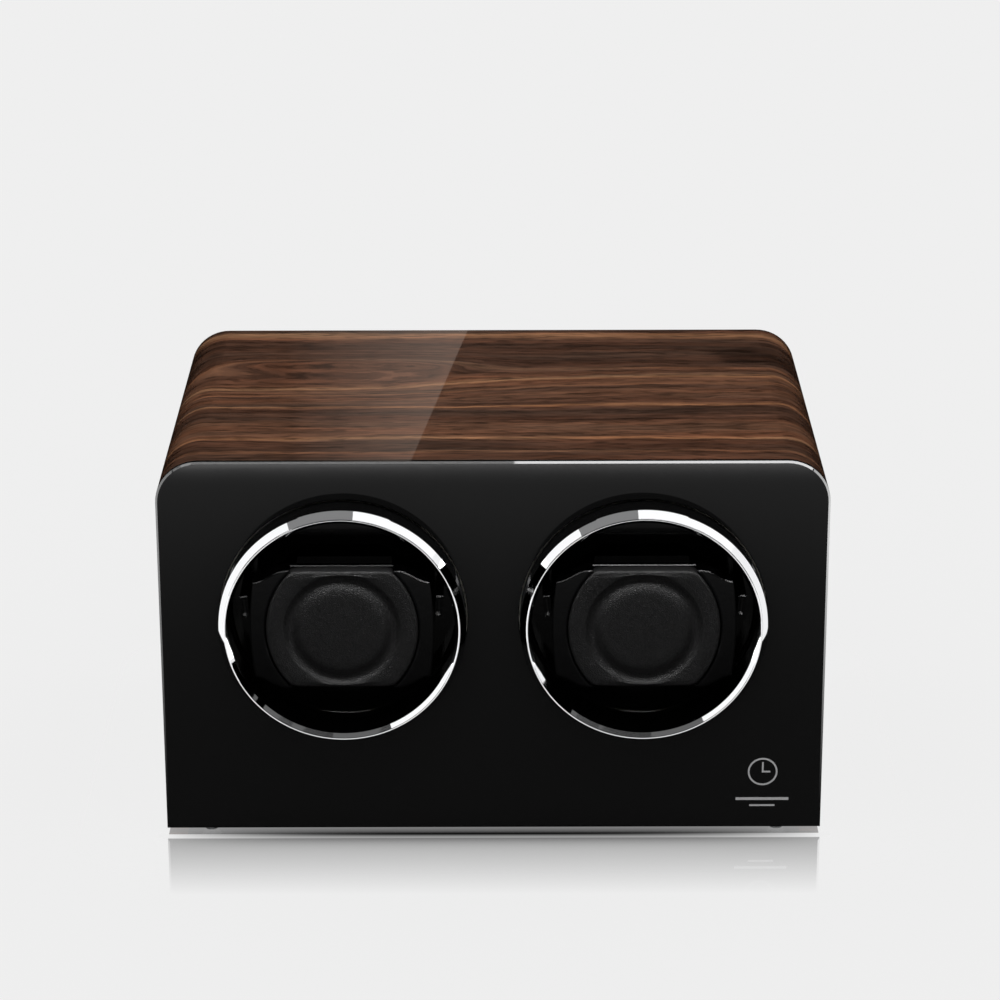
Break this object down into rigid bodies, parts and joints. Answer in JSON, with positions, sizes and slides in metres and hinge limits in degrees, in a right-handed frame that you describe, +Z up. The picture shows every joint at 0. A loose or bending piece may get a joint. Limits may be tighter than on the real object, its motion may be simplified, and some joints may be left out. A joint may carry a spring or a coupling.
{
  "type": "watch winder",
  "caption": "Table-top watch winder: a veneered box with a gloss black front and turning round cups that hold padded watch holders.",
  "frame": {"origin": "on the table, under the middle of the whole object", "axes": "+Z up; front towards -Y; +X to the right of someone facing the front"},
  "size_m": [0.31, 0.2236, 0.187],
  "materials": {
    "walnut_lacquer": "high-gloss lacquer over walnut veneer",
    "black_glass": "polished gloss black",
    "black_lacquer": "gloss black",
    "board": "raw fibreboard",
    "black_board": "matt black painted board",
    "chrome": "polished chrome",
    "leatherette": "fine-grained black leatherette",
    "satin_black": "satin black plastic",
    "velvet_black": "soft black flocked plastic",
    "steel": "bright zinc plated",
    "spring_steel": "drawn spring steel",
    "bronze": "sintered bronze",
    "nylon": "natural nylon",
    "clear_rubber": "clear soft polyurethane",
    "circuit_green": "green solder mask",
    "chip_black": "moulded black",
    "badge_silver": "satin silver",
    "lead_red": "red PVC insulation"
  },
  "bodies": {
    "cabinet": {"cabinet_wrap": "walnut_lacquer", "base_board": "black_board", "front_panel": "black_glass", "front_board": "board", "front_badge": "badge_silver", "back_panel": "black_board", "rear_cleats": "board", "back_panel_screws": "steel", "bumper_feet": "clear_rubber", "drive_plate": "steel", "plate_battens": "board", "chassis_screws": "steel", "spindle_bushes": "bronze", "glide_rings": "nylon", "gearbox_left": "steel", "gearbox_right": "steel", "motor_can_left": "steel", "motor_can_right": "steel", "control_plate": "satin_black", "control_plate_screws": "steel", "power_inlet": "satin_black", "power_switch_housing": "satin_black", "selector_bodies": "steel", "circuit_board": "circuit_green", "board_components": "chip_black", "board_standoffs": "nylon", "board_screws": "steel", "motor_leads_left": "lead_red", "motor_leads_right": "lead_red"},
    "rotor_left": {"chrome_rim_left": "chrome", "cup_wall_left": "black_lacquer", "cup_floor_left": "black_lacquer", "holder_catches_left": "black_lacquer", "spindle_left": "steel", "drive_gear_left": "nylon", "retaining_ring_left": "spring_steel"},
    "pinion_left": {"motor_pinion_left": "bronze"},
    "holder_left": {"cushion_left": "leatherette", "holder_frame_left": "black_lacquer", "guide_pins_left": "steel", "saddle_springs_left": "spring_steel"},
    "saddle_left": {"rear_saddle_left": "velvet_black"},
    "selector_left": {"selector_shaft_left": "steel", "mode_knob_left": "satin_black"},
    "rotor_right": {"chrome_rim_right": "chrome", "cup_wall_right": "black_lacquer", "cup_floor_right": "black_lacquer", "holder_catches_right": "black_lacquer", "spindle_right": "steel", "drive_gear_right": "nylon", "retaining_ring_right": "spring_steel"},
    "pinion_right": {"motor_pinion_right": "bronze"},
    "holder_right": {"cushion_right": "leatherette", "holder_frame_right": "black_lacquer", "guide_pins_right": "steel", "saddle_springs_right": "spring_steel"},
    "saddle_right": {"rear_saddle_right": "velvet_black"},
    "selector_right": {"selector_shaft_right": "steel", "mode_knob_right": "satin_black"},
    "rocker": {"power_rocker": "black_lacquer"}
  },
  "joints": [
    {"name": "rotor_left_spin", "type": "hinge", "parent": "cabinet", "child": "rotor_left", "pos_m": [-0.0695, -0.0242, 0.111], "axis": [0, 1, 0], "continuous": true},
    {"name": "pinion_left_spin", "type": "hinge", "parent": "cabinet", "child": "pinion_left", "pos_m": [-0.0695, -0.0242, 0.071], "axis": [0, 1, 0], "continuous": true},
    {"name": "holder_left_pull", "type": "slide", "parent": "rotor_left", "child": "holder_left", "axis": [0, -1, 0], "range_m": [0, 0.07]},
    {"name": "saddle_left_press", "type": "slide", "parent": "holder_left", "child": "saddle_left", "axis": [0, -1, 0], "range_m": [0, 0.006], "stiffness_N_per_m": 500, "springref_m": -0.006, "deforming": ["saddle_springs_left"]},
    {"name": "selector_left_turn", "type": "hinge", "parent": "cabinet", "child": "selector_left", "pos_m": [-0.052, 0.0958, 0.058], "axis": [0, 1, 0], "range_deg": [0, 270]},
    {"name": "rotor_right_spin", "type": "hinge", "parent": "cabinet", "child": "rotor_right", "pos_m": [0.0695, -0.0242, 0.111], "axis": [0, 1, 0], "continuous": true},
    {"name": "pinion_right_spin", "type": "hinge", "parent": "cabinet", "child": "pinion_right", "pos_m": [0.0695, -0.0242, 0.071], "axis": [0, 1, 0], "continuous": true},
    {"name": "holder_right_pull", "type": "slide", "parent": "rotor_right", "child": "holder_right", "axis": [0, -1, 0], "range_m": [0, 0.07]},
    {"name": "saddle_right_press", "type": "slide", "parent": "holder_right", "child": "saddle_right", "axis": [0, -1, 0], "range_m": [0, 0.006], "stiffness_N_per_m": 500, "springref_m": -0.006, "deforming": ["saddle_springs_right"]},
    {"name": "selector_right_turn", "type": "hinge", "parent": "cabinet", "child": "selector_right", "pos_m": [0.052, 0.0958, 0.058], "axis": [0, 1, 0], "range_deg": [0, 270]},
    {"name": "rocker_tilt", "type": "hinge", "parent": "cabinet", "child": "rocker", "pos_m": [-0.014, 0.0998, 0.058], "axis": [1, 0, 0], "range_deg": [-22, 0]}
  ],
  "couplings": [
    {"joint": "pinion_left_spin", "follows": "rotor_left_spin", "ratio": -3},
    {"joint": "pinion_right_spin", "follows": "rotor_right_spin", "ratio": -3}
  ]
}
